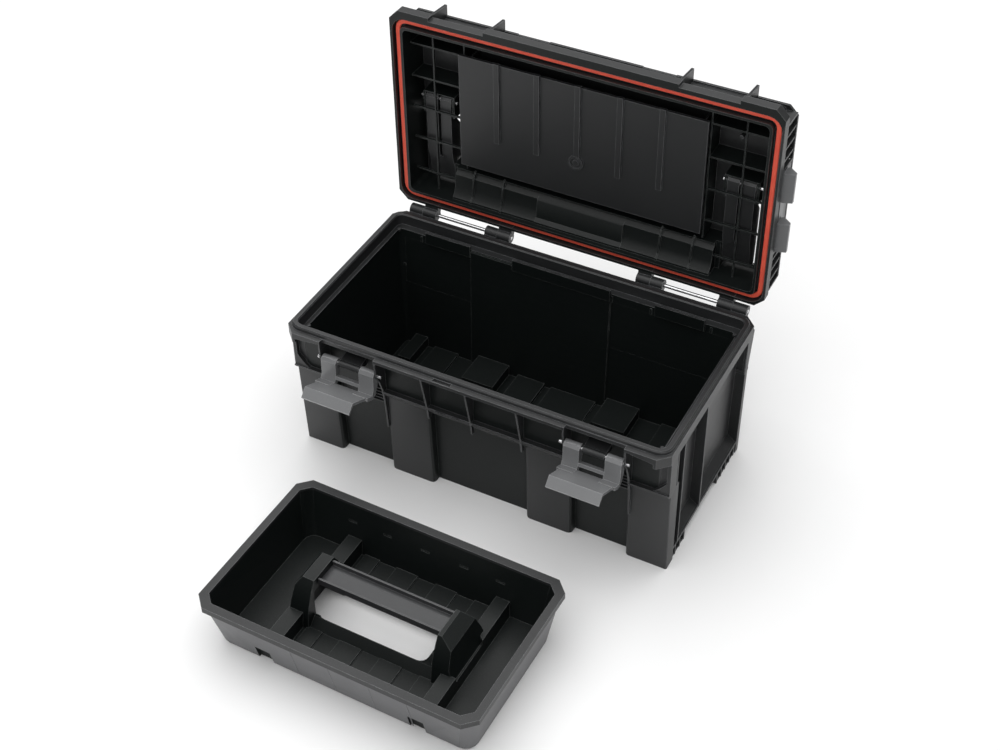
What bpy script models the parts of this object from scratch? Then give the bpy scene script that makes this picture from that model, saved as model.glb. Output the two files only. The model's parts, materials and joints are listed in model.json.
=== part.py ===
"""Toolbox with a lift-out tray: every piece is one named object, in metres, +Z up.

The origin lies under the middle of the base, on the floor. +X is the width, -Y the front.
The lid stands open at its stop, the latches hang open and the tray stands in front of the box.
"""
import math

import bmesh
import bpy
from mathutils import Vector

# ---- driving dimensions -------------------------------------------------------------------
GAP = 0.0004                    # between pieces that touch
ROUND = 20                      # sides of a turned piece
CORNER_STEPS = 4

BASE_HALF_WIDTH = 0.225
FLANGE_FRONT = -0.1223
FLANGE_BACK = 0.1245
FLANGE_TOP = 0.179
FLANGE_UNDER = 0.166
CORNER_CUT = 0.012
LIP_HEIGHT = 0.0045
PANEL_FRONT = -0.0885           # recessed front panels, at the floor
PAD_FRONT = -0.0990             # faces of the pads between them
SHELF_Z = 0.1248                # edge that runs across the front, above the pads
RIM_UNDER = 0.1752              # underside of the thin front rim, over the bays
RIM_BACK = -0.1100              # depth to which the bays reach under that rim
PADS_X = ((0.0570, 0.1120), (0.1757, 0.2243))
BAY_RIB = 0.0009                # half the thickness of the thin upright ribs
GRID_IN = 0.0560                # outermost of the thin ribs between the latch pockets
LATCH_IN = 0.1115
LATCH_OUT = 0.1785              # each latch pocket lies between LATCH_IN and LATCH_OUT

HINGE_Y = 0.1327
HINGE_Z = FLANGE_TOP
HINGE_RADIUS = 0.0065
HINGE_ROD_RADIUS = 0.0022
BASE_KNUCKLES = ((0.193, 0.210), (0.096, 0.111))
LID_KNUCKLES = ((0.1754, 0.1926), (0.079, 0.0956))

LATCH_CENTRE = 0.1445
LATCH_PIN = (-0.1180, 0.1550)
LATCH_PIN_RADIUS = 0.0020
PIN_ROOM = 0.00009              # play of a pin in its hole

LID_HALF_WIDTH = 0.2265         # the lid is drawn closed: Y and Z count from the hinge axis
LID_FRONT = -0.2585
LID_BACK = -0.0100
LID_SEAT = 0.0005
LID_FLANGE_TOP = 0.0115
LID_CEILING = 0.0425
GASKET_Z = (0.0050, 0.0080)
LID_TOP = 0.0455
RIB_EDGE = 0.0168               # free edge of the ribs inside the lid
PANEL_X = (-0.1475, 0.1435)     # underside of the organizer well
PANEL_Y = (-0.2170, -0.0755)
PANEL_FACE = 0.0100
PANEL_HUB = (-0.0042, -0.1225)
TROUGH_HALF_WIDTH = 0.1585      # box that holds the folded carrying handle
SLOT_X = (0.1645, 0.1975)       # slots that hold the arms of the carrying handle
SLOT_Y = (-0.1500, -0.030)
HANDLE_AXIS = (-0.1430, 0.0265)
HANDLE_PIN_RADIUS = 0.0025
CLIP_AXIS = (0.2225, 0.0375)
CLIP_SPAN = (-0.1790, -0.0750)
CLIP_PIN_RADIUS = 0.0015

TRAY_PLACE = (0.0045, -0.312, 0.0)
TRAY_HALF = (0.1610, 0.1000)
TRAY_HEIGHT = 0.066
TRAY_CORNER = 0.0132
TRAY_RIM = 0.007


# ---- materials ----------------------------------------------------------------------------
def material(name, colour, roughness, metallic=0.0, transmission=0.0):
    made = bpy.data.materials.new(name)
    made.use_nodes = True
    shader = made.node_tree.nodes["Principled BSDF"]
    shader.inputs["Base Color"].default_value = (*colour, 1.0)
    shader.inputs["Roughness"].default_value = roughness
    shader.inputs["Metallic"].default_value = metallic
    shader.inputs["Transmission Weight"].default_value = transmission
    made.diffuse_color = (*colour, 1.0)
    return made


# ---- shapes -------------------------------------------------------------------------------
def outline(x, front, back, corner, bulge=0.0):
    """Rectangle from -x to x and front to back: its corners are cut (bulge 0) or round (1)."""
    c = corner
    corners = (((x - c, front + c), -90), ((x - c, back - c), 0),
               ((-x + c, back - c), 90), ((-x + c, front + c), 180))
    points = []
    for (cx, cy), begin in corners:
        arc = [math.radians(begin + 90 * i / CORNER_STEPS) for i in range(CORNER_STEPS + 1)]
        arc = [Vector((cx + c * math.cos(t), cy + c * math.sin(t))) for t in arc]
        for i, on_arc in enumerate(arc):
            on_cut = arc[0].lerp(arc[-1], i / CORNER_STEPS)
            points.append(tuple(on_cut.lerp(on_arc, bulge)))
    return points


def stack(sections, ring=False):
    """Closed body through (z, plan) sections; a ring joins its last section to its first."""
    bm = bmesh.new()
    loops = [[bm.verts.new((x, y, z)) for x, y in plan] for z, plan in sections]
    pairs = list(zip(loops, loops[1:]))
    if ring:
        pairs.append((loops[-1], loops[0]))
    count = len(loops[0])
    for lower, upper in pairs:
        for i in range(count):
            j = (i + 1) % count
            bm.faces.new((lower[i], lower[j], upper[j], upper[i]))
    if not ring:
        bm.faces.new(loops[0])
        bm.faces.new(loops[-1])
    bmesh.ops.recalc_face_normals(bm, faces=bm.faces)
    return bm


def block(x0, x1, y0, y1, z0, z1):
    x0, x1 = min(x0, x1), max(x0, x1)
    plan = [(x0, y0), (x1, y0), (x1, y1), (x0, y1)]
    return stack([(z0, plan), (z1, plan)])


def prism(profile, start, end, axis="X"):
    """Profile swept along an axis: (y, z) points along X, (x, z) along Y and (x, y) along Z."""
    bm = bmesh.new()
    if axis == "X":
        loops = [[bm.verts.new((s, u, v)) for u, v in profile] for s in (start, end)]
    elif axis == "Y":
        loops = [[bm.verts.new((u, s, v)) for u, v in profile] for s in (start, end)]
    else:
        loops = [[bm.verts.new((u, v, s)) for u, v in profile] for s in (start, end)]
    first, last = loops
    for i in range(len(profile)):
        j = (i + 1) % len(profile)
        bm.faces.new((first[i], first[j], last[j], last[i]))
    bm.faces.new(first)
    bm.faces.new(last)
    bmesh.ops.recalc_face_normals(bm, faces=bm.faces)
    return bm


def rod(centre, radius, start, end, axis="X", sides=ROUND):
    """Round bar along an axis; its centre is given as in a prism."""
    turn = [2 * math.pi * (i + 0.5) / sides for i in range(sides)]
    profile = [(centre[0] + radius * math.cos(t), centre[1] + radius * math.sin(t)) for t in turn]
    return prism(profile, start, end, axis)


def both_sides(make):
    """The same shape on the left and on the right: make(side) with side -1 and 1."""
    return [make(side) for side in (-1, 1)]


def span(side, pair):
    """A stretch of X on one side, in rising order."""
    low, high = side * pair[0], side * pair[1]
    return (low, high) if low < high else (high, low)


# ---- objects ------------------------------------------------------------------------------
def to_object(name, shapes):
    mesh = bpy.data.meshes.new(name)
    for bm in shapes:
        part = bpy.data.meshes.new("part")
        bm.to_mesh(part)
        bm.free()
        whole = bmesh.new()
        whole.from_mesh(mesh)
        whole.from_mesh(part)
        whole.to_mesh(mesh)
        whole.free()
        bpy.data.meshes.remove(part)
    made = bpy.data.objects.new(name, mesh)
    bpy.context.collection.objects.link(made)
    return made


def combine(target, shapes, operation):
    """Boolean of the target with shapes that don't overlap one another."""
    tool = to_object("tool", shapes)
    modifier = target.modifiers.new("combine", "BOOLEAN")
    modifier.operation = operation
    modifier.solver = "EXACT"
    modifier.object = tool
    graph = bpy.context.evaluated_depsgraph_get()
    result = bpy.data.meshes.new_from_object(target.evaluated_get(graph))
    target.modifiers.clear()
    old = target.data
    target.data = result
    result.name = target.name
    bpy.data.meshes.remove(old)
    bpy.data.objects.remove(tool)


def add(target, *shapes):
    combine(target, shapes, "UNION")


def cut(target, *shapes):
    combine(target, shapes, "DIFFERENCE")


def finish(target, look, parent=None, origin=(0, 0, 0), smooth=True):
    """Set the origin, parent and material; origin is given in the parent's frame."""
    shift = Vector(origin)
    for vertex in target.data.vertices:
        vertex.co -= shift
    target.location = shift
    target.parent = parent
    target.data.materials.clear()
    target.data.materials.append(look)
    if smooth:
        target.data.shade_smooth()
        target.data.set_sharp_from_angle(angle=math.radians(30))


# ---- base ---------------------------------------------------------------------------------
def lip_outline(grow, corner=0.0110, shift=0.0):
    """Outline of the raised lip that the gasket closes on, grown by a distance."""
    return outline(0.2190 + grow, -0.1120 - grow - shift, 0.1150 + grow - shift, corner + grow, 1.0)


def base_hull():
    flange = outline(BASE_HALF_WIDTH, FLANGE_FRONT, FLANGE_BACK, CORNER_CUT)
    lip_top = FLANGE_TOP + LIP_HEIGHT
    return stack([
        (0.0000, outline(0.2125, PANEL_FRONT, 0.1000, 0.0030, 1.0)),
        (0.1060, outline(0.2128, PANEL_FRONT - 0.0030, 0.1035, 0.0030, 1.0)),
        (0.1130, outline(0.2130, -0.1030, 0.1040, 0.0030, 1.0)),
        (FLANGE_UNDER, outline(0.2130, -0.1030, 0.1060, 0.0030, 1.0)),
        (FLANGE_UNDER, flange),
        (FLANGE_TOP, flange),
        (FLANGE_TOP, lip_outline(0.0040)),
        (lip_top - 0.0012, lip_outline(0.0034)),
        (lip_top, lip_outline(0.0022)),
        (lip_top, lip_outline(-0.0022)),
        (lip_top - 0.0012, lip_outline(-0.0034)),
        (0.1700, lip_outline(-0.0042)),
        (0.1700, outline(0.2098, -0.0998, 0.1025, 0.0060, 1.0)),
        (0.1180, outline(0.2095, -0.0996, 0.1006, 0.0060, 1.0)),
        (0.1070, outline(0.2090, -0.0850, 0.1002, 0.0060, 1.0)),
        (0.0050, outline(0.2055, -0.0825, 0.0965, 0.0060, 1.0)),
    ])


def rounded_pad(side, x0, x1, front, back, round_in, round_out):
    """Plan of a pad whose two front corners are rounded."""
    points = [(x0, back)]
    for centre, radius, turn in (((x0 + round_in, front + round_in), round_in, 180),
                                 ((x1 - round_out, front + round_out), round_out, 270)):
        for step in range(4):
            angle = math.radians(turn + 30 * step)
            points.append((centre[0] + radius * math.cos(angle), centre[1] + radius * math.sin(angle)))
    points.append((x1, back))
    return [(side * x, y) for x, y in points]


def front_pad(side, x0, x1, round_out):
    return stack([(z, rounded_pad(side, x0, x1, front, PANEL_FRONT + 0.0060, 0.0050, round_out))
                  for z, front in ((0.0, PAD_FRONT), (0.1180, PAD_FRONT - 0.0045))])


def base_front(shell):
    """Pads, shelf and pocket ribs of the front wall."""
    add(shell, *both_sides(lambda s: front_pad(s, *PADS_X[0], 0.0050)))
    add(shell, *both_sides(lambda s: front_pad(s, *PADS_X[1], 0.0015)))
    shelf = [(-0.1012, SHELF_Z), (-0.1090, SHELF_Z), (-0.1090, 0.1228), (-0.1055, 0.1165),
             (-0.1012, 0.1130)]
    add(shell, prism(shelf, -LATCH_IN, LATCH_IN))
    ledge = [(-0.1012, 0.1190), (-0.1085, 0.1190), (-0.1085, 0.1168), (-0.1012, 0.1130)]
    add(shell, *both_sides(lambda s: prism(ledge, *span(s, (LATCH_OUT, 0.2243)))))
    corner = [(0.2060, 0.1188), (0.2130, 0.1250), (0.2200, 0.1340), (0.2205, 0.1665), (0.2243, 0.1665),
              (0.2243, 0.1188)]
    add(shell, *both_sides(lambda s: prism([(s * x, z) for x, z in corner], -0.1070, -0.1015, "Y")))
    add(shell, *both_sides(lambda s: block(s * 0.2100, s * 0.2243, -0.1020, -0.0900, 0.1100, 0.1670)))
    cut(shell, block(0.0010 - LATCH_IN, LATCH_IN - 0.0010, -0.1300, RIM_BACK, 0.1600, RIM_UNDER))
    wedge = [(LATCH_OUT + 0.0010, 0.1600), (LATCH_OUT + 0.0010, RIM_UNDER), (0.2100, 0.1715),
             (0.2100, 0.1600)]
    cut(shell, *both_sides(lambda s: prism([(s * x, z) for x, z in wedge], -0.1300, RIM_BACK, "Y")))
    head = [(RIM_BACK + 0.0010, RIM_UNDER + 0.0004), (RIM_BACK + 0.0010, 0.1690), (-0.1015, 0.1690)]
    rib = [(-0.1015, 0.1060), (-0.1065, 0.1060), (-0.1092, 0.1240), (-0.1205, RIM_UNDER + 0.0004), *head]
    add(shell, *[prism(rib, x - BAY_RIB, x + BAY_RIB) for x in (-GRID_IN, -0.0035, GRID_IN)])
    side = [(-0.0960, 0.0680), (-0.1035, 0.0680), (-0.1062, 0.1060), (-0.1100, 0.1290), (-0.1150, 0.1440),
            (-0.1217, 0.1560), (-0.1217, RIM_UNDER + 0.0004), *head, (-0.0960, 0.1100)]
    for place in (LATCH_IN - 0.0018, LATCH_IN), (LATCH_OUT, LATCH_OUT + 0.0018):
        add(shell, *both_sides(lambda s: prism(side, *span(s, place))))
    knuckle = LATCH_CENTRE - 0.0125, LATCH_CENTRE + 0.0125
    web = [(-0.1015, 0.1510), (-0.1180, 0.1524), (-0.1180, 0.1576), (-0.1015, 0.1600)]
    add(shell, *both_sides(lambda s: prism(web, *span(s, knuckle))))
    add(shell, *both_sides(lambda s: rod(LATCH_PIN, 0.0038, *span(s, knuckle))))
    over = LATCH_IN + 0.0002, LATCH_OUT - 0.0002
    pocket = [(-0.1300, 0.1610), (-0.1060, 0.1610), (-0.1060, 0.1685), (RIM_BACK, 0.1685),
              (RIM_BACK, 0.1745), (-0.1168, 0.1745), (-0.1168, 0.1900), (-0.1300, 0.1900)]
    cut(shell, *both_sides(lambda s: prism(pocket, *span(s, over))))
    hole = LATCH_PIN_RADIUS + PIN_ROOM
    cut(shell, *both_sides(lambda s: rod(LATCH_PIN, hole, *span(s, (0.1000, 0.1900)))))
    hollow = [(-0.0955, 0.0050), (-0.0992, 0.1130), (-0.0940, 0.1130), (-0.0790, 0.1000), (-0.0790, 0.0050)]
    for x0, x1 in ((0.0600, 0.1090), (0.1790, 0.2040)):
        cut(shell, *both_sides(lambda s: prism(hollow, *span(s, (x0, x1)))))
    cut(shell, block(-0.0410, -0.0200, -0.1210, -0.1165, 0.1600, 0.1830))


def base_sides(shell):
    """Posts, ribs, rail and feet of both side walls."""
    inside, face = 0.2110, 0.2243
    uprights = (-0.0885, -0.0865), (-0.0720, -0.0700), (-0.0120, -0.0095)
    for start, end in uprights:
        add(shell, *both_sides(lambda s: block(s * inside, s * face, start, end, 0.0150, 0.1675)))
    add(shell, *both_sides(lambda s: block(s * inside, s * face, 0.1015, 0.1058, 0.0, 0.1675)))
    add(shell, *both_sides(lambda s: block(s * inside, s * 0.2238, -0.0980, 0.1030, 0.0140, 0.0170)))
    sill = [(0.2110, 0.0160), (0.2230, 0.0160), (0.2110, 0.0260)]
    add(shell, *both_sides(lambda s: prism([(s * x, z) for x, z in sill], -0.0950, 0.1030, "Y")))
    cells = (-0.0500, -0.0620, -0.0740, -0.0860), (0.0440, 0.0565, 0.0690, 0.0815, 0.0940)
    for group in cells:
        add(shell, *[block(s * 0.2105, s * 0.2238, y - 0.0010, y + 0.0010, 0.0, 0.0150)
                     for y in group for s in (-1, 1)])
    for start, end in ((-0.0985, -0.0500), (0.0440, 0.1030)):
        add(shell, *both_sides(lambda s: block(s * 0.2105, s * 0.2230, start, end, 0.0, 0.0018)))


def base_back(shell):
    """Outer pads and ribs of the back wall, hinge knuckles and the hook rails inside it."""
    pad = [(0.0985, 0.0), (0.1060, 0.0), (0.1085, 0.1200), (0.1020, 0.1200)]
    add(shell, *both_sides(lambda s: prism(pad, *span(s, PADS_X[0]))),
        *both_sides(lambda s: prism(pad, *span(s, PADS_X[1]))))
    rib = [(0.1000, 0.1180), (0.1105, 0.1180), (0.1205, 0.1675), (0.1020, 0.1675)]
    for x in (0.0200, 0.0620, 0.1095, 0.1805, 0.2225):
        add(shell, *both_sides(lambda s: prism(rib, *span(s, (x - 0.0012, x + 0.0012)))))
    shelf = [(0.1000, 0.1180), (0.1110, 0.1180), (0.1110, 0.1215), (0.1000, 0.1215)]
    add(shell, prism(shelf, -0.2240, 0.2240))
    arm = [(0.1220, 0.1665), (0.1300, 0.1690), (0.1385, 0.1760), (0.1385, 0.1790), (0.1330, 0.1800),
           (0.1275, 0.1785), (0.1220, 0.1785)]
    for place in BASE_KNUCKLES:
        add(shell, *both_sides(lambda s: prism(arm, *span(s, place))))
        add(shell, *both_sides(lambda s: rod((HINGE_Y, HINGE_Z), HINGE_RADIUS, *span(s, place))))
    hole = HINGE_ROD_RADIUS + PIN_ROOM
    for place in BASE_KNUCKLES:
        wide = place[0] - 0.0010, place[1] + 0.0010
        cut(shell, *both_sides(lambda s: rod((HINGE_Y, HINGE_Z), hole, *span(s, wide))))
    rail = [(0.1040, 0.1600), (0.0985, 0.1620), (0.0985, 0.1770), (0.1010, 0.1770), (0.1012, 0.1690),
            (0.1040, 0.1690)]
    add(shell, prism(rail, -0.0610, 0.0610),
        *both_sides(lambda s: prism(rail, *span(s, (0.1150, 0.1735)))))


def base_floor(shell):
    """Raised floor pads along the back wall and the shallow steps of that wall."""
    pads = (0.0640, 0.1050, 0.0190), (0.1760, 0.1920, 0.0190), (0.1340, 0.1660, 0.0085)
    for start, end, height in pads:
        add(shell, *both_sides(lambda s: block(*span(s, (start, end)), 0.0520, 0.0985, 0.0030, height)))
    add(shell, block(-0.0520, -0.0165, 0.0520, 0.0985, 0.0030, 0.0100),
        block(-0.0080, 0.0500, 0.0520, 0.0985, 0.0030, 0.0080))
    step = [(0.0985, 0.0035), (0.0950, 0.0035), (0.0998, 0.1685), (0.1040, 0.1685)]
    add(shell, prism(step, -0.1150, 0.0610))


def build_base(plastic):
    shell = to_object("base_shell", [base_hull()])
    base_front(shell)
    base_sides(shell)
    base_back(shell)
    base_floor(shell)
    finish(shell, plastic)


# ---- latches ------------------------------------------------------------------------------
def lever_profile(points):
    return [(LATCH_PIN[0] + y, LATCH_PIN[1] + z) for y, z in points]


def build_latch(side, name, plastic, steel):
    centre = side * LATCH_CENTRE
    arm = lever_profile([(0.0050, -0.0030), (0.0040, 0.0030), (-0.0030, 0.0045), (-0.0058, 0.0010),
                         (-0.0066, -0.0160), (-0.0095, -0.0222), (-0.0200, -0.0170), (-0.0200, -0.0215),
                         (-0.0115, -0.0270), (-0.0040, -0.0255), (0.0020, -0.0160)])
    plate = lever_profile([(-0.0092, -0.0230), (-0.0430, -0.0062), (-0.0520, -0.0150),
                           (-0.0505, -0.0175), (-0.0428, -0.0100), (-0.0110, -0.0262)])
    bar = lever_profile([(-0.0005, -0.0175), (-0.0062, -0.0155), (-0.0075, -0.0190), (-0.0020, -0.0215)])
    arms = [(centre - 0.0325, centre - 0.0145), (centre + 0.0145, centre + 0.0325)]
    lever = to_object("latch_lever_" + name, [prism(arm, *place) for place in arms])
    add(lever, prism(plate, centre - 0.0295, centre + 0.0295))
    add(lever, prism(bar, centre - 0.0155, centre + 0.0155))
    add(lever, *[rod(LATCH_PIN, 0.0050, place[0] + 0.0001, place[1] - 0.0001) for place in arms])
    hole = LATCH_PIN_RADIUS + PIN_ROOM
    cut(lever, rod(LATCH_PIN, hole, centre - 0.0400, centre + 0.0400))
    finish(lever, plastic, origin=(centre, *LATCH_PIN))
    pin = to_object("latch_pin_" + name, [rod(LATCH_PIN, LATCH_PIN_RADIUS, *span(side, (0.1052, 0.1838)))])
    finish(pin, steel, origin=(centre, *LATCH_PIN))


# ---- lid ----------------------------------------------------------------------------------
def open_lid(target):
    """Turn a piece drawn on the closed lid a quarter turn back about the hinge."""
    for vertex in target.data.vertices:
        x, y, z = vertex.co
        vertex.co = (x, HINGE_Y + z, HINGE_Z - y)


def lid_point(x, y, z):
    return (x, HINGE_Y + z, HINGE_Z - y)


def lid_hull():
    flange = outline(LID_HALF_WIDTH, LID_FRONT, LID_BACK, 0.0110)
    plate = outline(0.2255, -0.2396, -0.0130, 0.0100)
    inner, outer = lip_outline(-0.0050, shift=HINGE_Y), lip_outline(0.0045, shift=HINGE_Y)
    return stack([
        (LID_CEILING, outline(0.2105, -0.2345, -0.0265, 0.0060, 1.0)),
        (LID_SEAT, outline(0.2110, -0.2367, -0.0257, 0.0060, 1.0)),
        (LID_SEAT, inner),
        (0.0083, inner),
        (0.0083, outer),
        (LID_SEAT, outer),
        (LID_SEAT, flange),
        (LID_FLANGE_TOP, flange),
        (LID_FLANGE_TOP, outline(0.2140, -0.2405, -0.0222, 0.0060, 1.0)),
        (LID_CEILING, outline(0.2135, -0.2378, -0.0232, 0.0060, 1.0)),
        (LID_CEILING, plate),
        (LID_TOP, plate),
    ])


def lid_outside(shell):
    """Latch fins, side ribs, clip posts and hinge knuckles."""
    fin = [(-0.2570, 0.0105), (-0.2395, 0.0105), (-0.2365, 0.0435), (-0.2390, 0.0440), (-0.2530, 0.0440)]
    for place in (0.1075, 0.1105), (0.1785, 0.1815):
        add(shell, *both_sides(lambda s: prism(fin, *span(s, place))))
    upright = 0.0105, 0.0435
    for y in (-0.2330, -0.2190, -0.2050, -0.1900, -0.0640, -0.0500, -0.0360, -0.0225):
        add(shell, *both_sides(lambda s: block(s * 0.2120, s * 0.2250, y - 0.001, y + 0.001, *upright)))
    for y in CLIP_SPAN:
        add(shell, *both_sides(lambda s: block(s * 0.2120, s * 0.2260, y - 0.0015, y + 0.0015, *upright)))
    low = LID_SEAT + 0.0001
    tail = [(-0.0135, low), (-0.0010, low), (-0.0010, 0.0060), (-0.0110, 0.0105), (-0.0135, 0.0105)]
    hole = HINGE_ROD_RADIUS + PIN_ROOM
    for place in LID_KNUCKLES:
        add(shell, *both_sides(lambda s: prism(tail, *span(s, place))))
        add(shell, *both_sides(lambda s: rod((0.0, 0.0), HINGE_RADIUS, *span(s, place))))
        wide = place[0] - 0.001, place[1] + 0.001
        cut(shell, *both_sides(lambda s: rod((0.0, 0.0), hole, *span(s, wide))))
    gate = LATCH_IN + 0.0002, LATCH_OUT - 0.0006
    cut(shell, *both_sides(lambda s: block(*span(s, gate), -0.2650, -0.2545, -0.0010, 0.0200)))
    cut(shell, *both_sides(lambda s: block(*span(s, (0.0540, 0.0920)), -0.2450, -0.2388, 0.0400, 0.0500)))


def lid_inside(shell):
    """Trough and slots of the carrying handle, its pin lugs and the rib grid."""
    trough = [(-0.0625, 0.0430), (-0.0625, 0.0178), (-0.0609, 0.0178), (-0.0600, 0.0205), (-0.0560, 0.0172),
              (-0.0545, 0.0152), (-0.0400, 0.0138), (-0.0330, 0.0112), (-0.0285, 0.0066), (-0.0240, 0.0066),
              (-0.0240, 0.0430)]
    add(shell, prism(trough, -TROUGH_HALF_WIDTH, TROUGH_HALF_WIDTH))
    middle = [(-0.0595, 0.0215), (-0.0540, 0.0138), (-0.0526, 0.0130), (-0.0320, 0.0100), (-0.0285, 0.0060),
              (-0.0242, 0.0060), (-0.0242, 0.0215)]
    add(shell, prism(middle, -0.0530, 0.0530))
    end = [(-0.0625, 0.0430), (-0.0625, 0.0240), (-0.0260, 0.0240), (-0.0240, 0.0430)]
    add(shell, *both_sides(lambda s: prism(end, *span(s, (TROUGH_HALF_WIDTH - 0.001, SLOT_X[0] - 0.0005)))))
    gusset = [(-0.0640, 0.0200), (-0.0610, 0.0165), (-0.0560, 0.0145), (-0.0540, 0.0128), (-0.0330, 0.0095),
              (-0.0285, 0.0055), (-0.0245, 0.0055), (-0.0245, 0.0200)]
    for x in (0.0970, 0.1345):
        add(shell, *both_sides(lambda s: prism(gusset, *span(s, (x - BAY_RIB, x + BAY_RIB)))))
        cut(shell, *both_sides(lambda s: block(*span(s, (x + BAY_RIB, x + BAY_RIB + 0.0015)),
                                               -0.0640, -0.0603, 0.0100, 0.0196)))
    wall, wall_edge = 0.1434, 0.1450
    add(shell, *both_sides(lambda s: block(*span(s, (wall, wall_edge)), -0.2360, -0.0660,
                                           RIB_EDGE + 0.0004, LID_CEILING + 0.0010)))
    across = wall_edge - 0.0004, 0.2120
    for y in (-0.2125, -0.1715, -0.1315, -0.0905, -0.0470):
        start = across[0] if y < -0.0600 else TROUGH_HALF_WIDTH - 0.0004
        depth = LID_CEILING + 0.0010 if y < SLOT_Y[0] - 0.0020 else RIB_EDGE + 0.0027
        add(shell, *both_sides(lambda s: block(*span(s, (start, across[1])), y - BAY_RIB, y + BAY_RIB,
                                               RIB_EDGE, depth)))
    add(shell, *both_sides(lambda s: block(*span(s, (0.1817, 0.1833)), -0.2366, -0.0262, RIB_EDGE - 0.0003,
                                           RIB_EDGE + 0.0023)))
    root = LID_CEILING + 0.0010
    y, z = HANDLE_AXIS
    shelf = SLOT_Y[0] - 0.0014, SLOT_Y[0] - 0.0003, 0.0225, root
    add(shell, *both_sides(lambda s: block(*span(s, (0.1615, 0.2005)), *shelf)))
    lug = [(y - 0.0060, root), (y - 0.0060, z), (y - 0.0030, z - 0.0052), (y + 0.0030, z - 0.0052),
           (y + 0.0060, z), (y + 0.0060, root)]
    cheek = -0.1505, -0.1240, 0.0225, root - 0.0005
    for place in (SLOT_X[0] - 0.0032, SLOT_X[0] - 0.0004), (SLOT_X[1] + 0.0004, SLOT_X[1] + 0.0032):
        add(shell, *both_sides(lambda s: block(*span(s, place), *cheek)))
        add(shell, *both_sides(lambda s: prism(lug, *span(s, place))))
    cut(shell, *both_sides(lambda s: block(*span(s, SLOT_X), *SLOT_Y, 0.0245, 0.0500)))
    hollow = [(-0.0600, 0.0500), (-0.0600, 0.0235), (-0.0555, 0.0195), (-0.0400, 0.0168), (-0.0350, 0.0148),
              (-0.0295, 0.0148), (-0.0285, 0.0500)]
    cut(shell, prism(hollow, 0.0015 - TROUGH_HALF_WIDTH, TROUGH_HALF_WIDTH - 0.0015))
    cut(shell, *both_sides(lambda s: block(*span(s, (TROUGH_HALF_WIDTH - 0.002, SLOT_X[0] + 0.001)),
                                           -0.0600, -0.0343, 0.0262, 0.0500)))
    hole = HANDLE_PIN_RADIUS + PIN_ROOM
    cut(shell, *both_sides(lambda s: rod(HANDLE_AXIS, hole, *span(s, (0.1500, 0.2090)))))


def build_lid(plastic, rubber, steel):
    shell = to_object("lid_shell", [lid_hull()])
    lid_outside(shell)
    lid_inside(shell)
    x, z = CLIP_AXIS
    hole = CLIP_PIN_RADIUS + PIN_ROOM
    for y in CLIP_SPAN:
        cut(shell, *both_sides(lambda s: rod((s * x, z), hole, y - 0.003, y + 0.003, "Y")))
    open_lid(shell)
    finish(shell, plastic, origin=(0, HINGE_Y, HINGE_Z))

    low, high = GASKET_Z
    outside, inside = lip_outline(0.0028, shift=HINGE_Y), lip_outline(-0.0028, shift=HINGE_Y)
    section = [(low, outside), (high, outside), (high, inside), (low, inside)]
    gasket = to_object("lid_gasket", [stack(section, ring=True)])
    open_lid(gasket)
    finish(gasket, rubber, origin=(0, HINGE_Y, HINGE_Z))

    (left, right), (front, back), face = PANEL_X, PANEL_Y, PANEL_FACE
    panel = to_object("lid_inner_panel", [block(left, right, front, back, face, face + 0.0035)])
    for x in (-0.1005, -0.0520, -0.0035, 0.0455, 0.0935):
        add(panel, block(x - 0.0033, x + 0.0033, front - 0.0022, -0.1185, face - 0.0026, face + 0.0010))
    add(panel, rod(PANEL_HUB, 0.0088, face - 0.0028, face + 0.0010, "Z"))
    cut(panel, rod(PANEL_HUB, 0.0066, face - 0.0100, face - 0.0012, "Z"))
    add(panel, rod(PANEL_HUB, 0.0036, face - 0.0024, face + 0.0005, "Z"))
    add(panel, *[block(x, x + 0.0020, front + 0.0060, back - 0.0060, face + 0.0030, LID_CEILING - 0.0005)
                 for x in (left + 0.0080, right - 0.0100)])
    open_lid(panel)
    finish(panel, plastic, origin=(0, HINGE_Y, HINGE_Z))

    for side, name in ((-1, "left"), (1, "right")):
        length = span(side, (0.0786, 0.2104))
        bar = to_object("hinge_rod_" + name, [rod((HINGE_Y, HINGE_Z), HINGE_ROD_RADIUS, *length)])
        finish(bar, steel, origin=(side * 0.1445, HINGE_Y, HINGE_Z))


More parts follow.
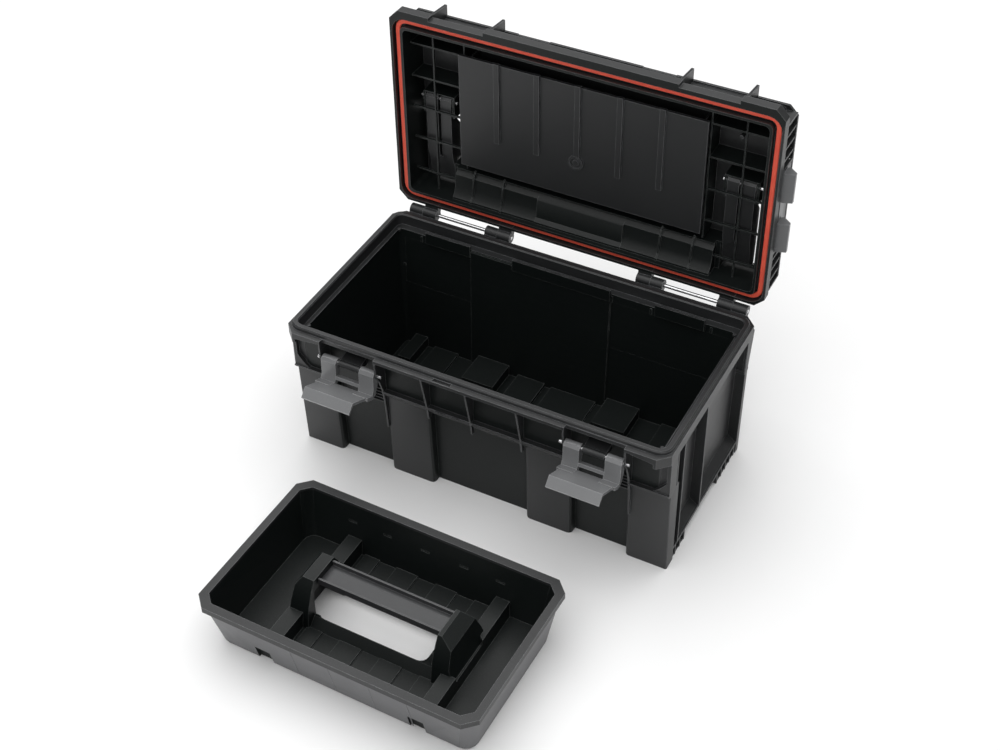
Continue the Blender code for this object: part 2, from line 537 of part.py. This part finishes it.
# ---- carrying handle ----------------------------------------------------------------------
def build_handle(plastic, steel):
    y, z = HANDLE_AXIS
    low, high = SLOT_X[0] + 0.0008, SLOT_X[1] - 0.0008
    arm_side = [(y - 0.0055, z - 0.0030), (y - 0.0030, z - 0.0053), (y + 0.0030, z - 0.0055),
                (y + 0.0080, 0.0212), (y + 0.0700, 0.0214), (y + 0.0870, 0.0262), (y + 0.1060, 0.0270),
                (y + 0.1090, 0.0300), (y + 0.1090, 0.0420), (y + 0.0850, 0.0430), (y + 0.0370, 0.0430),
                (y + 0.0210, 0.0312), (y - 0.0030, 0.0320), (y - 0.0055, z + 0.0030)]
    for side, name in ((-1, "left"), (1, "right")):
        arm = to_object("handle_arm_" + name, [prism(arm_side, *span(side, (low, high)))])
        cut(arm, block(*span(side, (0.1785, 0.1820)), y - 0.0100, y + 0.0750, 0.0200, 0.0300))
        cut(arm, rod(HANDLE_AXIS, HANDLE_PIN_RADIUS + PIN_ROOM, *span(side, (low - 0.002, high + 0.002))))
        cut(arm, block(*span(side, (low - 0.002, low + 0.0080)), y + 0.0897, y + 0.1043, 0.0307, 0.0393))
        open_lid(arm)
        finish(arm, plastic, origin=lid_point(side * 0.181, y, z))
        length = span(side, (0.1590, 0.2045))
        pin = to_object("handle_pin_" + name, [rod(HANDLE_AXIS, HANDLE_PIN_RADIUS, *length)])
        open_lid(pin)
        finish(pin, steel, origin=lid_point(side * 0.181, y, z))
    end = low - GAP
    section = [(y + 0.0870, 0.0290), (y + 0.0900, 0.0272), (y + 0.1040, 0.0272), (y + 0.1075, 0.0300),
               (y + 0.1075, 0.0400), (y + 0.1030, 0.0435), (y + 0.0910, 0.0435), (y + 0.0870, 0.0400)]
    grip = to_object("handle_grip", [prism(section, -end, end)])
    add(grip, block(-low - 0.0075, low + 0.0075, y + 0.0900, y + 0.1040, 0.0310, 0.0390))
    open_lid(grip)
    finish(grip, plastic, origin=lid_point(0, y, z))


# ---- stacking clips -----------------------------------------------------------------------
def build_clip(side, name, plastic, steel):
    x, z = CLIP_AXIS
    start, end = CLIP_SPAN[0] + 0.0018, CLIP_SPAN[1] - 0.0018
    clip = to_object("stack_clip_" + name, [rod((side * x, z), 0.0035, start, end, "Y", 16)])
    apron = [(side * (x + 0.0004), z - 0.0010), (side * (x + 0.0033), z), (side * (x + 0.0036), z - 0.0210),
             (side * (x + 0.0012), z - 0.0210)]
    add(clip, prism(apron, start + 0.0001, end - 0.0001, "Y"))
    tab = [(x + 0.0014, z - 0.0225), (x + 0.0014, z - 0.0120), (x + 0.0060, z - 0.0080),
           (0.2380, z - 0.0150), (0.2380, z - 0.0190), (x + 0.0060, z - 0.0225)]
    tab = [(side * u, v) for u, v in tab]
    add(clip, prism(tab, start + 0.0005, -0.1410, "Y"), prism(tab, -0.1135, end - 0.0005, "Y"))
    axis = side * x, z
    cut(clip, rod(axis, CLIP_PIN_RADIUS + PIN_ROOM, start - 0.002, end + 0.002, "Y", 16))
    origin = lid_point(side * x, 0.5 * (start + end), z)
    open_lid(clip)
    finish(clip, plastic, origin=origin)
    ends = CLIP_SPAN[0] - 0.0025, CLIP_SPAN[1] + 0.0025
    pin = to_object("clip_pin_" + name, [rod(axis, CLIP_PIN_RADIUS, *ends, "Y", 16)])
    open_lid(pin)
    finish(pin, steel, origin=origin)


# ---- tray ---------------------------------------------------------------------------------
def tray_end(tray, side, top, shoulder, foot):
    """Support at one end of the tray's handle: a cap, a slanted shoulder and a wide foot."""
    inner = 0.0725
    levels = ((0.0015, foot, -0.0320, 0.0420), (0.0300, shoulder + 0.0015, -0.0275, 0.0370),
              (0.0490, shoulder, -0.0195, 0.0290), (0.0590, top, -0.0135, 0.0230))
    loops = [(z, [(side * inner, front), (side * outer, front), (side * outer, back), (side * inner, back)])
             for z, outer, front, back in levels]
    add(tray, stack(loops))


def build_tray(plastic, light):
    rim = TRAY_HEIGHT - TRAY_RIM
    half_x, half_y = TRAY_HALF
    edge = outline(half_x, -half_y, half_y, TRAY_CORNER)
    tray = to_object("tray", [stack([
        (0.0000, outline(0.1470, -0.0818, 0.0818, 0.0130, 1.0)),
        (0.0020, outline(0.1487, -0.0834, 0.0834, 0.0140, 1.0)),
        (rim, outline(0.1572, -0.0960, 0.0960, 0.0130, 0.3)),
        (rim, edge),
        (TRAY_HEIGHT, edge),
        (TRAY_HEIGHT, outline(0.1524, -0.0908, 0.0908, 0.0100)),
        (TRAY_HEIGHT - 0.0030, outline(0.1520, -0.0903, 0.0903, 0.0100, 0.3)),
        (0.0025, outline(0.1465, -0.0812, 0.0812, 0.0120, 1.0)),
    ])])
    hump = [(-0.0300, 0.0015), (-0.0196, 0.0120), (0.0276, 0.0120), (0.0380, 0.0015)]
    add(tray, prism(hump, -0.0850, 0.0850))
    tray_end(tray, -1, 0.0862, 0.0930, 0.0975)
    tray_end(tray, 1, 0.0770, 0.0905, 0.1010)
    ridge = [(0.0860, 0.0015), (0.0870, 0.0150), (0.0990, 0.0150), (0.1010, 0.0015)]
    add(tray, prism(ridge, -0.0825, 0.0825, "Y"))
    for places, near in (((-0.0965, -0.0795), 0.0470), ((0.0835, 0.0995), 0.0400)):
        back = [(0.0822, 0.0020), (0.0838, 0.0222), (near, 0.0222), (near - 0.0010, 0.0020)]
        front = [(-0.0822, 0.0020), (-0.0838, 0.0222), (-0.0270, 0.0222), (-0.0260, 0.0020)]
        add(tray, prism(back, *places), prism(front, *places))
    tip = [(0.0835, 0.0410), (0.0995, 0.0265), (0.0995, 0.0410)]
    add(tray, prism(tip, 0.0020, 0.0222, "Z"))
    for start, end in ((-0.0750, -0.0570), (-0.0360, -0.0100), (0.0120, 0.0380), (0.0590, 0.0830)):
        add(tray, block(start, end, -0.0819, -0.0292, 0.0015, 0.0045),
            block(start, end, 0.0372, 0.0819, 0.0015, 0.0045))
    opening = outline(0.0640, -0.0190, 0.0270, 0.0090, 1.0)
    cut(tray, stack([(z, [(x - 0.0060, y) for x, y in opening]) for z in (-0.0050, 0.0150)]))
    hollow = -0.0165, 0.0250, -0.0010, 0.0450
    cut(tray, block(-0.0895, -0.0650, *hollow), block(0.0650, 0.0870, *hollow))
    socket = -0.0055, 0.0155
    cut(tray, block(-0.0800, -0.0700, *socket, 0.0470, 0.0520),
        block(0.0700, 0.0750, *socket, 0.0470, 0.0520))
    for x in (-0.0915, -0.0485, -0.0025, 0.0440, 0.0870):
        cut(tray, block(x - 0.0050, x + 0.0050, 0.0700, 0.0885, 0.0408, 0.0434))
    niche = -0.0835, -0.0765, 0.0020, 0.0235
    add(tray, *both_sides(lambda s: block(s * 0.0890 - 0.0115, s * 0.0890 + 0.0115, *niche)))
    niche = -0.0900, -0.0795, -0.0010, 0.0210
    cut(tray, *both_sides(lambda s: block(s * 0.0890 - 0.0090, s * 0.0890 + 0.0090, *niche)))

    bar = to_object("tray_handle", [block(-0.0721, 0.0721, -0.0070, 0.0220, 0.0480, 0.0560)])
    cut(bar, block(-0.0800, 0.0800, -0.0050, 0.0200, 0.0505, 0.0600))
    add(bar, block(-0.0780, 0.0746, -0.0050, 0.0150, 0.0474, 0.0506))
    place_tray(tray, plastic)
    place_tray(bar, light)


def place_tray(target, look):
    turn = math.radians(-1.17)
    for vertex in target.data.vertices:
        x, y, z = vertex.co
        vertex.co = (TRAY_PLACE[0] + x * math.cos(turn) - y * math.sin(turn),
                     TRAY_PLACE[1] + x * math.sin(turn) + y * math.cos(turn), z)
    finish(target, look, origin=TRAY_PLACE)


# ---- assembly -----------------------------------------------------------------------------
for existing in list(bpy.data.objects):
    bpy.data.objects.remove(existing)

black = material("black_plastic", (0.030, 0.031, 0.032), 0.50)
grey = material("grey_plastic", (0.075, 0.077, 0.080), 0.45)
coral = material("coral_rubber", (0.72, 0.085, 0.055), 0.60)
metal = material("bright_steel", (0.62, 0.62, 0.63), 0.28, metallic=1.0)

build_base(black)
build_lid(black, coral, metal)
build_handle(black, metal)
for build_side, build_name in ((-1, "left"), (1, "right")):
    build_latch(build_side, build_name, grey, metal)
    build_clip(build_side, build_name, grey, metal)
build_tray(black, grey)
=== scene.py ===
"""Looks of the toolbox with tray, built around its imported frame. Metres, +Z up, front towards -Y."""
import json
import math

import bmesh
import bpy
from mathutils import Matrix, Vector


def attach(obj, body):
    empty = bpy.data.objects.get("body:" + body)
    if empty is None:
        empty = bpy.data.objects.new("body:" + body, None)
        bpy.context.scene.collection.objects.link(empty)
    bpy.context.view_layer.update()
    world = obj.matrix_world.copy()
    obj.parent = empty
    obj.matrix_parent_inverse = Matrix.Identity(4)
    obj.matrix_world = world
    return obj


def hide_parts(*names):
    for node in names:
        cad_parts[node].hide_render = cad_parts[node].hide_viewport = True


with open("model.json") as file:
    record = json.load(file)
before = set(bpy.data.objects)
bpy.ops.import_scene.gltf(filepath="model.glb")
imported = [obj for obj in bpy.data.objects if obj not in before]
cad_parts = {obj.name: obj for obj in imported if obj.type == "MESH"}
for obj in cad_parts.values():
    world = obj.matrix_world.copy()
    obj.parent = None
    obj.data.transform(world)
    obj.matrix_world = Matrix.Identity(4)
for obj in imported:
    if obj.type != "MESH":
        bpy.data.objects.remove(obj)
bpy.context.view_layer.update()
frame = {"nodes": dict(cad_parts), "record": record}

TRAY_PLACE = (0.0045, -0.312)
TRAY_TURN = math.radians(-1.17)
LID_TOP = 0.0455
BEVEL_SEGMENTS = 3
BEVEL_ANGLE = math.radians(28)
JOINTS = {joint["name"]: joint for joint in frame["record"]["behaviour"]["joints"]}
HINGE_X, HINGE_Y, HINGE_Z = JOINTS["lid_hinge"]["pos_m"]


# ---- materials ----------------------------------------------------------------------------
def new_material(name):
    """A node material with its shader, texture coordinates and a way to add nodes."""
    made = bpy.data.materials.new(name)
    made.use_nodes = True
    tree = made.node_tree
    shader = tree.nodes["Principled BSDF"]
    place = tree.nodes.new("ShaderNodeTexCoord").outputs["Object"]
    return made, tree, shader, place


def noise(tree, place, scale, detail=4.0, rough=0.55):
    node = tree.nodes.new("ShaderNodeTexNoise")
    node.inputs["Scale"].default_value = scale
    node.inputs["Detail"].default_value = detail
    node.inputs["Roughness"].default_value = rough
    tree.links.new(place, node.inputs["Vector"])
    return node.outputs["Fac"]


def spread(tree, value, low, high, start=0.3, stop=0.7):
    """Value between start and stop, mapped to low and high."""
    node = tree.nodes.new("ShaderNodeMapRange")
    node.inputs["From Min"].default_value = start
    node.inputs["From Max"].default_value = stop
    node.inputs["To Min"].default_value = low
    node.inputs["To Max"].default_value = high
    tree.links.new(value, node.inputs["Value"])
    return node.outputs["Result"]


def ramp(tree, value, stops):
    """Colour ramp of (position, colour) stops."""
    node = tree.nodes.new("ShaderNodeValToRGB")
    elements = node.color_ramp.elements
    while len(elements) < len(stops):
        elements.new(0.5)
    for element, (position, colour) in zip(elements, stops):
        element.position = position
        element.color = (*colour, 1.0)
    tree.links.new(value, node.inputs["Fac"])
    return node.outputs["Color"]


def mix(tree, factor, first, second):
    node = tree.nodes.new("ShaderNodeMix")
    node.data_type = "RGBA"
    sockets = (node.inputs[0], node.inputs[6], node.inputs[7])
    for socket, source in zip(sockets, (factor, first, second)):
        if isinstance(source, bpy.types.NodeSocket):
            tree.links.new(source, socket)
        elif isinstance(source, tuple):
            socket.default_value = (*source, 1.0)
        else:
            socket.default_value = source
    return node.outputs[2]


def math_node(tree, kind, first, second):
    node = tree.nodes.new("ShaderNodeMath")
    node.operation = kind
    for socket, source in zip(node.inputs, (first, second)):
        if isinstance(source, bpy.types.NodeSocket):
            tree.links.new(source, socket)
        else:
            socket.default_value = source
    return node.outputs[0]


def edge_wear_and_highlight(tree, place):
    """Up to 1 where a surface turns sharply, as where edges wear and as a painted edge highlight,
    broken up by noise.
    """
    rounded = tree.nodes.new("ShaderNodeBevel")
    rounded.samples = 4
    rounded.inputs["Radius"].default_value = 0.0010
    geometry = tree.nodes.new("ShaderNodeNewGeometry")
    facing = tree.nodes.new("ShaderNodeVectorMath")
    facing.operation = "DOT_PRODUCT"
    tree.links.new(rounded.outputs["Normal"], facing.inputs[0])
    tree.links.new(geometry.outputs["Normal"], facing.inputs[1])
    edge = spread(tree, facing.outputs["Value"], 1.0, 0.0, 0.80, 0.995)
    breakup = spread(tree, noise(tree, place, 90.0, 6.0), 0.45, 1.0, 0.35, 0.60)
    return math_node(tree, "MULTIPLY", edge, breakup)


def moulded_plastic(name, dark, light, wear_and_highlight, rough, grain=0.10):
    """Moulded polypropylene: spark-eroded grain, faint flow marks, paler edges (partly wear, partly
    painted highlight), fine scuffs.
    """
    made, tree, shader, place = new_material(name)
    flow = noise(tree, place, 9.0, 5.0)
    base = ramp(tree, flow, ((0.30, dark), (0.72, light)))
    # Paler edges: partly wear, partly painted highlight standing in for light caught on edges.
    grey = mix(tree, edge_wear_and_highlight(tree, place), base, wear_and_highlight)
    specks = spread(tree, noise(tree, place, 2600.0, 1.0), 0.0, 0.20, 0.62, 0.75)
    tree.links.new(mix(tree, specks, grey, wear_and_highlight), shader.inputs["Base Color"])

    scuffs = tree.nodes.new("ShaderNodeMapping")
    scuffs.inputs["Scale"].default_value = (30.0, 260.0, 30.0)
    scuffs.inputs["Rotation"].default_value = (0.3, 0.2, 0.5)
    tree.links.new(place, scuffs.inputs["Vector"])
    scratched = noise(tree, scuffs.outputs["Vector"], 1.0, 6.0, 0.7)
    streak = spread(tree, scratched, 0.0, 0.04, 0.60, 0.74)
    patch = spread(tree, noise(tree, place, 26.0, 6.0), rough - 0.02, rough + 0.02)
    tree.links.new(math_node(tree, "SUBTRACT", patch, streak), shader.inputs["Roughness"])

    fine = noise(tree, place, 1500.0, 2.0, 0.6)
    coarse = noise(tree, place, 420.0, 3.0, 0.5)
    height = math_node(tree, "ADD", fine, coarse)
    bump = tree.nodes.new("ShaderNodeBump")
    bump.inputs["Strength"].default_value = grain
    bump.inputs["Distance"].default_value = 0.00025
    tree.links.new(height, bump.inputs["Height"])
    tree.links.new(bump.outputs["Normal"], shader.inputs["Normal"])
    shader.inputs["IOR"].default_value = 1.49
    return made


def soft_rubber(name):
    """Foamed coral seal: matt skin, fine pores, slightly uneven tone."""
    made, tree, shader, place = new_material(name)
    tone = noise(tree, place, 60.0, 5.0)
    base = ramp(tree, tone, ((0.3, (0.86, 0.090, 0.050)), (0.7, (0.94, 0.125, 0.070))))
    tree.links.new(base, shader.inputs["Base Color"])
    tree.links.new(spread(tree, noise(tree, place, 200.0), 0.50, 0.66), shader.inputs["Roughness"])
    bump = tree.nodes.new("ShaderNodeBump")
    bump.inputs["Strength"].default_value = 0.25
    bump.inputs["Distance"].default_value = 0.0002
    tree.links.new(noise(tree, place, 1800.0, 2.0), bump.inputs["Height"])
    tree.links.new(bump.outputs["Normal"], shader.inputs["Normal"])
    shader.inputs["Sheen Weight"].default_value = 0.15
    shader.inputs["Sheen Roughness"].default_value = 0.4
    return made


def drawn_steel(name):
    """Bright drawn wire: fine lines along X, slight stains."""
    made, tree, shader, place = new_material(name)
    lines = tree.nodes.new("ShaderNodeMapping")
    lines.inputs["Scale"].default_value = (40.0, 2200.0, 2200.0)
    tree.links.new(place, lines.inputs["Vector"])
    drawn = noise(tree, lines.outputs["Vector"], 1.0, 3.0)
    stain = noise(tree, place, 70.0, 5.0)
    tree.links.new(ramp(tree, stain, ((0.3, (0.60, 0.60, 0.61)), (0.7, (0.80, 0.80, 0.81)))),
                   shader.inputs["Base Color"])
    tree.links.new(spread(tree, drawn, 0.16, 0.34), shader.inputs["Roughness"])
    bump = tree.nodes.new("ShaderNodeBump")
    bump.inputs["Strength"].default_value = 0.12
    bump.inputs["Distance"].default_value = 0.0001
    tree.links.new(drawn, bump.inputs["Height"])
    tree.links.new(bump.outputs["Normal"], shader.inputs["Normal"])
    shader.inputs["Metallic"].default_value = 1.0
    return made


def floor_paint(name):
    """Seamless pale studio floor with a barely visible texture."""
    made, tree, shader, place = new_material(name)
    tone = noise(tree, place, 3.0, 4.0)
    tree.links.new(ramp(tree, tone, ((0.3, (0.90, 0.90, 0.90)), (0.7, (0.93, 0.93, 0.93)))),
                   shader.inputs["Base Color"])
    tree.links.new(spread(tree, noise(tree, place, 40.0), 0.72, 0.82), shader.inputs["Roughness"])
    return made


BLACK = moulded_plastic("black_moulded", (0.0150, 0.0158, 0.0165), (0.0168, 0.0176, 0.0184),
                        (0.200, 0.205, 0.212), 0.42)
# Painted shade: a darker, less glossy copy of the black plastic. It is laid on the box's inside, its
# front bays, the lid's inner grid and the tray's inside, where shade falls.
INNER_SHADE = moulded_plastic("black_inner_painted_shade", (0.0045, 0.0062, 0.0060), (0.0054, 0.0074, 0.0070),
                        (0.120, 0.128, 0.126), 0.42, 0.06)
INNER_SHADE.node_tree.nodes["Principled BSDF"].inputs["Specular IOR Level"].default_value = 0.30
GREY = moulded_plastic("grey_moulded", (0.110, 0.113, 0.116), (0.125, 0.128, 0.132),
                       (0.24, 0.24, 0.25), 0.34)
# Painted reflection: a paler, glossier copy of the grey plastic for the latch levers, standing in for
# the softbox's reflection on them.
LEVER_PAINTED_SHEEN = moulded_plastic("lever_painted_sheen", (0.160, 0.163, 0.167), (0.178, 0.181, 0.185),
                        (0.46, 0.46, 0.47), 0.24)
TRAY_SIDE = moulded_plastic("tray_outside", (0.112, 0.113, 0.118), (0.126, 0.127, 0.132),
                            (0.30, 0.30, 0.31), 0.42)
TRAY_GRIP = moulded_plastic("tray_grip", (0.030, 0.031, 0.033), (0.034, 0.035, 0.037),
                            (0.20, 0.20, 0.205), 0.34)
CORAL = soft_rubber("coral_seal")
STEEL = drawn_steel("drawn_steel")
LOOKS = {"black_plastic": BLACK, "grey_plastic": GREY, "coral_rubber": CORAL,
         "bright_steel": STEEL}
SLOTS = {part["node"]: part["material_slot"] for part in frame["record"]["subparts"]}


# ---- shapes -------------------------------------------------------------------------------
def block(x0, x1, y0, y1, z0, z1):
    return prism([(y0, z0), (y1, z0), (y1, z1), (y0, z1)], x0, x1)


def prism(profile, start, end, axis="X"):
    """Profile swept along an axis: (y, z) along X, (x, y) along Z."""
    bm = bmesh.new()
    put = {"X": lambda u, v, s: (s, u, v), "Z": lambda u, v, s: (u, v, s)}[axis]
    first, last = [[bm.verts.new(put(u, v, s)) for u, v in profile] for s in (start, end)]
    for i in range(len(profile)):
        j = (i + 1) % len(profile)
        bm.faces.new((first[i], first[j], last[j], last[i]))
    bm.faces.new(first)
    bm.faces.new(last)
    bmesh.ops.recalc_face_normals(bm, faces=bm.faces)
    return bm


def rod(centre, radius, low, high, sides=20):
    """Upright round rod."""
    turn = [2 * math.pi * i / sides for i in range(sides)]
    profile = [(centre[0] + radius * math.cos(t), centre[1] + radius * math.sin(t)) for t in turn]
    return prism(profile, low, high, "Z")


# ---- pieces -------------------------------------------------------------------------------
def link(name, data):
    made = bpy.data.objects.new(name, data)
    bpy.context.scene.collection.objects.link(made)
    return made


LID_TURN = Matrix(((1, 0, 0, HINGE_X), (0, 0, 1, HINGE_Y), (0, -1, 0, HINGE_Z), (0, 0, 0, 1)))


def on_lid(bm):
    """Turn a shape drawn on the closed lid, from its hinge, to where the open lid is at rest."""
    bm.transform(LID_TURN)
    return bm


def on_tray(bm):
    """Put a shape drawn about the tray's middle where the tray stands, slightly turned."""
    place = Matrix.Translation((*TRAY_PLACE, 0.0))
    bm.transform(place @ Matrix.Rotation(TRAY_TURN, 4, "Z"))
    return bm


def soften(target, width):
    """Round every sharp edge and shade the rest smoothly."""
    bevel = target.modifiers.new("bevel", "BEVEL")
    bevel.width = width
    bevel.segments = BEVEL_SEGMENTS
    bevel.limit_method = "ANGLE"
    bevel.angle_limit = BEVEL_ANGLE
    bevel.use_clamp_overlap = True
    bevel.miter_outer = "MITER_ARC"
    bevel.harden_normals = True
    target.data.shade_smooth()


def from_shapes(name, shapes):
    mesh = bpy.data.meshes.new(name)
    whole = bmesh.new()
    for bm in shapes:
        part = bpy.data.meshes.new("part")
        bm.to_mesh(part)
        bm.free()
        whole.from_mesh(part)
        bpy.data.meshes.remove(part)
    whole.to_mesh(mesh)
    whole.free()
    return link(name, mesh)


def carve(target, shapes, operation="DIFFERENCE"):
    tool = from_shapes("tool", shapes)
    modifier = target.modifiers.new("carve", "BOOLEAN")
    modifier.operation = operation
    modifier.solver = "EXACT"
    modifier.object = tool
    graph = bpy.context.evaluated_depsgraph_get()
    result = bpy.data.meshes.new_from_object(target.evaluated_get(graph))
    target.modifiers.clear()
    target.data = result
    bpy.data.objects.remove(tool)


def copy_of(node):
    """Clean copy of a CAD node: one vertex per corner and flat faces in one piece."""
    source = frame["nodes"][node].data
    mesh = bpy.data.meshes.new(node + "_look")
    corners = [vertex.co[:] for vertex in source.vertices]
    mesh.from_pydata(corners, [], [face.vertices[:] for face in source.polygons])
    bm = bmesh.new()
    bm.from_mesh(mesh)
    bmesh.ops.remove_doubles(bm, verts=bm.verts, dist=2e-6)
    bmesh.ops.dissolve_limit(bm, angle_limit=math.radians(0.4), verts=bm.verts, edges=bm.edges)
    bmesh.ops.recalc_face_normals(bm, faces=bm.faces)
    bm.to_mesh(mesh)
    bm.free()
    return link(node + "_look", mesh)


def settle(target, body, slot, look=None):
    """Material, from the record slot unless a look is given, and the body that the piece rides on."""
    target.data.materials.clear()
    target.data.materials.append(look or LOOKS[slot])
    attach(target, body)


BODIES = frame["record"]["behaviour"]["bodies"]
BODY_OF = {node: body for body, nodes in BODIES.items() for node in nodes}


def dress(node, width, added=(), carved=(), look=None, parts=()):
    """Rounded, detailed stand-in for a CAD node; parts are (material, test of a face) pairs."""
    made = copy_of(node)
    if added:
        carve(made, added, "UNION")
    if carved:
        carve(made, carved)
    soften(made, width)
    settle(made, BODY_OF[node], SLOTS[node], look)
    for index, (own, covers) in enumerate(parts, 1):
        made.data.materials.append(own)
        for face in made.data.polygons:
            if covers(face.center):
                face.material_index = index
    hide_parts(node)


def extra(name, body, slot, shapes, width, look=None):
    """Detail of its own that rides on a body."""
    made = from_shapes(name, shapes)
    soften(made, width)
    settle(made, body, slot, look)


# ---- base ---------------------------------------------------------------------------------
def base():
    """Open box: inside and front bays painted dark as shade, one bump on the front shelf, level inner
    back wall.
    """
    # Painted shade: the inside of the box and the bays under the front rim get the darker plastic.
    def shaded_cavity(c):
        return abs(c.x) < 0.2112 and -0.1000 < c.y < 0.1030 and 0.0045 < c.z < 0.1698

    def shaded_bay(c):
        return abs(c.x) < 0.2070 and -0.1050 < c.y < -0.1010 and 0.1255 < c.z < 0.1760

    bump = [(-0.1080, 0.1245), (-0.1106, 0.1245), (-0.1106, 0.1226), (-0.1080, 0.1205)]
    flat = [(0.0900, 0.0950), (0.0998, 0.0950), (0.1022, 0.1595), (0.0900, 0.1595)]
    dress("base_shell", 0.0007, added=[prism(bump, -0.0460, -0.0200)],
          carved=[prism(flat, -0.2030, -0.1152), prism(flat, 0.0612, 0.2030)],
          parts=[(INNER_SHADE, shaded_cavity), (INNER_SHADE, shaded_bay)])
    fins = []
    for step in range(5):
        z = 0.1080 + 0.0045 * step
        for x0, x1 in ((-0.1250, -0.1117), (0.1650, 0.1783)):
            fins.append(block(x0, x1, -0.1075, -0.0900, z, z + 0.0012))
    extra("pocket_fins", "base", "black_plastic", fins, 0.0003)
    bosses = [rod((x, y), 0.0022, 0.1690, 0.1722)
              for x in (-0.2085, 0.2085) for y in (-0.0960, 0.0985)]
    extra("rim_bosses", "base", "black_plastic", bosses, 0.0006)


# ---- lid ----------------------------------------------------------------------------------
def lid():
    """Outside of the lid with a recessed, ribbed field; small boss in the grid inside."""
    above = LID_TOP + 0.0010
    field = [on_lid(block(-0.1500, 0.1500, y, y + 0.0118, LID_TOP - 0.0009, above))
             for y in [-0.2210 + 0.0150 * i for i in range(11)]]
    ends = [on_lid(block(x0, x1, -0.2150, -0.0350, LID_TOP - 0.0006, above))
            for x0, x1 in ((-0.2080, -0.1600), (0.1600, 0.2080))]

    # Painted shade: the grid inside the lid gets the darker plastic.
    def grid(c):
        depth, along = c.y - HINGE_Y, HINGE_Z - c.z
        return depth < 0.0423 and abs(c.x) < 0.2112 and -0.2366 < along < -0.0258

    dress("lid_shell", 0.0006, carved=field + ends, parts=[(INNER_SHADE, grid)])
    boss = on_lid(rod((0.1770, -0.2050), 0.0022, 0.0172, 0.0430))
    extra("grid_boss", "lid", "black_plastic", [boss], 0.0005)
    dress("lid_inner_panel", 0.0005)
    dress("lid_gasket", 0.0012)


# ---- tray ---------------------------------------------------------------------------------
def tray():
    """Tray with pale outer walls, thin ribs on its front wall and its inside painted dark as shade."""
    def centred(c):
        return Matrix.Rotation(-TRAY_TURN, 3, "Z") @ (c - Vector((*TRAY_PLACE, 0.0)))

    def outside(c):
        x, y, z = centred(c)
        flare = (z - 0.0020) / 0.0570
        side = abs(x) > 0.1480 + 0.0080 * flare
        front = abs(y) > 0.0827 + 0.0120 * flare
        corner = abs(x) + abs(y) > 0.2190 + 0.0200 * flare
        return z < 0.0588 and (side or front or corner)

    # Painted shade: the tray's inside gets the darker plastic.
    def shaded_hollow(c):
        return 0.0020 < c.z < 0.0625 and not outside(c)

    wall = [(-0.0832, 0.0040), (-0.0842, 0.0040), (-0.0960, 0.0575), (-0.0950, 0.0575)]
    ribs = [on_tray(prism(wall, x - 0.0004, x + 0.0004)) for x in (-0.0490, -0.0050, 0.0410, 0.0840)]
    dress("tray", 0.0007, parts=[(INNER_SHADE, shaded_hollow), (TRAY_SIDE, outside)])
    extra("tray_wall_ribs", "tray_body", "black_plastic", ribs, 0.0001, TRAY_SIDE)
    dress("tray_handle", 0.0012, look=TRAY_GRIP)


# ---- levers, handle, clips and steel ------------------------------------------------------
def levers_and_pins():
    for side in ("left", "right"):
        dress("latch_lever_" + side, 0.0008, look=LEVER_PAINTED_SHEEN)
        dress("handle_arm_" + side, 0.0008)
        dress("stack_clip_" + side, 0.0007)
    dress("handle_grip", 0.0015)
    for node in SLOTS:
        if SLOTS[node] == "bright_steel":
            dress(node, 0.0004)


# ---- camera and studio --------------------------------------------------------------------
def camera():
    """Looks down at the open box from the front right."""
    azimuth, elevation, roll = math.radians(27.96), math.radians(41.53), math.radians(0.67)
    ahead = Vector((-math.sin(azimuth) * math.cos(elevation), math.cos(azimuth) * math.cos(elevation),
                    -math.sin(elevation)))
    right = ahead.cross(Vector((0, 0, 1))).normalized()
    down = ahead.cross(right)
    turned_right = math.cos(roll) * right + math.sin(roll) * down
    turned_down = math.cos(roll) * down - math.sin(roll) * right
    data = bpy.data.cameras.new("camera")
    data.sensor_width = 36.0
    data.lens = 59.53
    data.shift_x = -0.0047
    data.shift_y = -0.0139
    made = link("camera", data)
    basis = Matrix((turned_right, -turned_down, -ahead)).transposed().to_4x4()
    made.matrix_world = Matrix.Translation((0.6218, -1.2076, 1.3305)) @ basis
    bpy.context.scene.camera = made


def area_light(name, place, target, size, power):
    data = bpy.data.lights.new(name, "AREA")
    data.shape = "RECTANGLE"
    data.size, data.size_y = size
    data.energy = power
    made = link(name, data)
    made.location = place
    made.rotation_euler = (Vector(target) - Vector(place)).to_track_quat("-Z", "Y").to_euler()


def studio():
    floor = from_shapes("floor", [block(-5, 5, -5, 5, -0.010, -0.0002)])
    floor.data.materials.append(floor_paint("studio_floor"))
    world = bpy.data.worlds.new("studio")
    world.use_nodes = True
    sky = world.node_tree.nodes["Background"]
    sky.inputs["Color"].default_value = (1.0, 1.0, 1.0, 1.0)
    sky.inputs["Strength"].default_value = 0.20
    bpy.context.scene.world = world
    bpy.context.scene.view_settings.view_transform = "Standard"
    area_light("overhead", (-0.4, 0.5, 2.5), (-0.4, 0.5, 0.0), (4.6, 5.2), 138)
    area_light("front", (0.2, -2.4, 1.5), (0, 0.1, 0.2), (1.6, 1.2), 12)


# ---- run ----------------------------------------------------------------------------------
base()
lid()
tray()
levers_and_pins()
camera()
studio()
bpy.context.view_layer.update()
